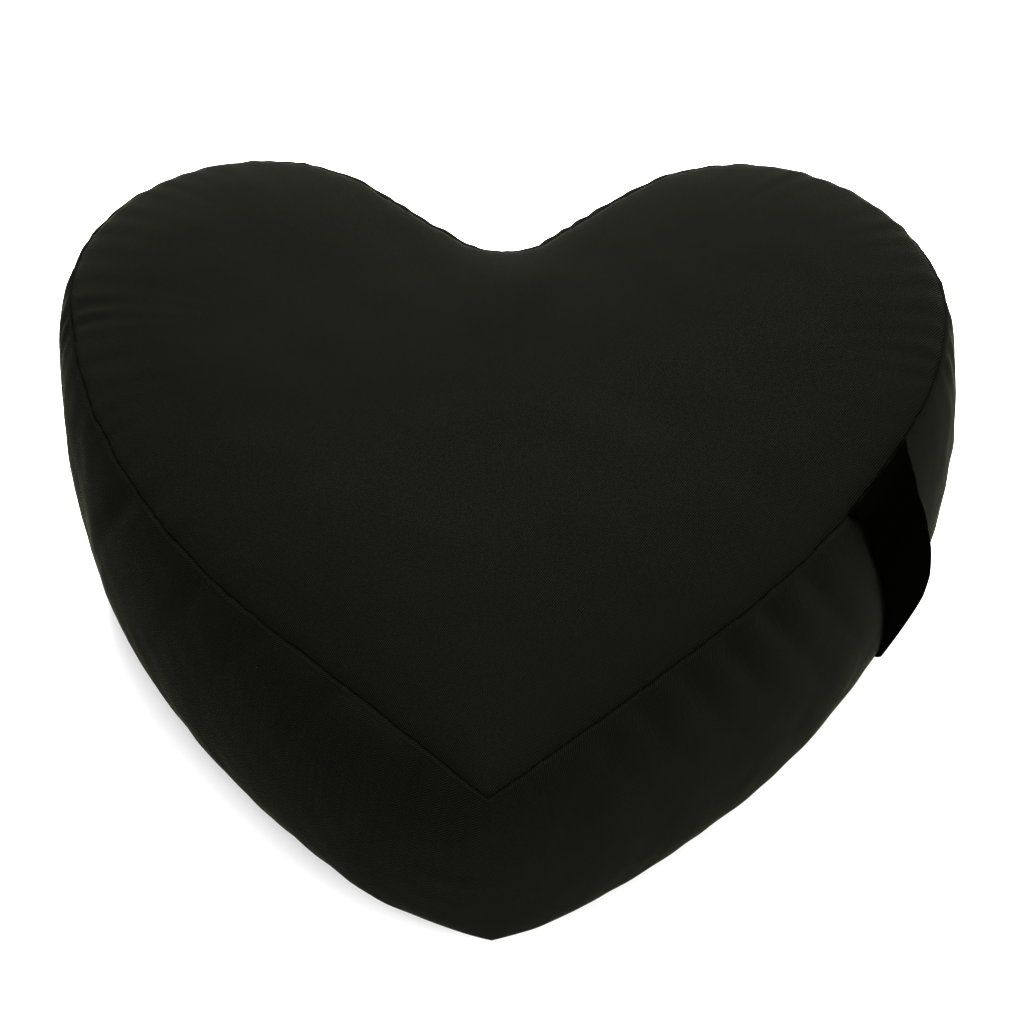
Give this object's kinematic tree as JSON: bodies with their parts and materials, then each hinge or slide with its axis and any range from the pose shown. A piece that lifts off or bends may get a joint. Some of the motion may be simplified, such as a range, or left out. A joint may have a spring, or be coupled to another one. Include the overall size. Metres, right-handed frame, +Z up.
{
  "type": "zafu meditation cushion",
  "caption": "Heart-shaped filled floor cushion with a gently crowned top panel, a deep bulging side band and a broad strap handle on its right side.",
  "frame": {"origin": "on the floor face, in the middle plane of the heart, between its tip and its lobes", "axes": "+Z up, +Y towards the two lobes, so the tip points to -Y and the strap handle lies on +X"},
  "size_m": [0.4301, 0.381, 0.1793],
  "materials": {
    "twill_black": "matt cotton twill",
    "webbing_black": "matt webbing"
  },
  "bodies": {
    "root": {"cushion": "twill_black", "handle_strap": "webbing_black"}
  },
  "joints": []
}
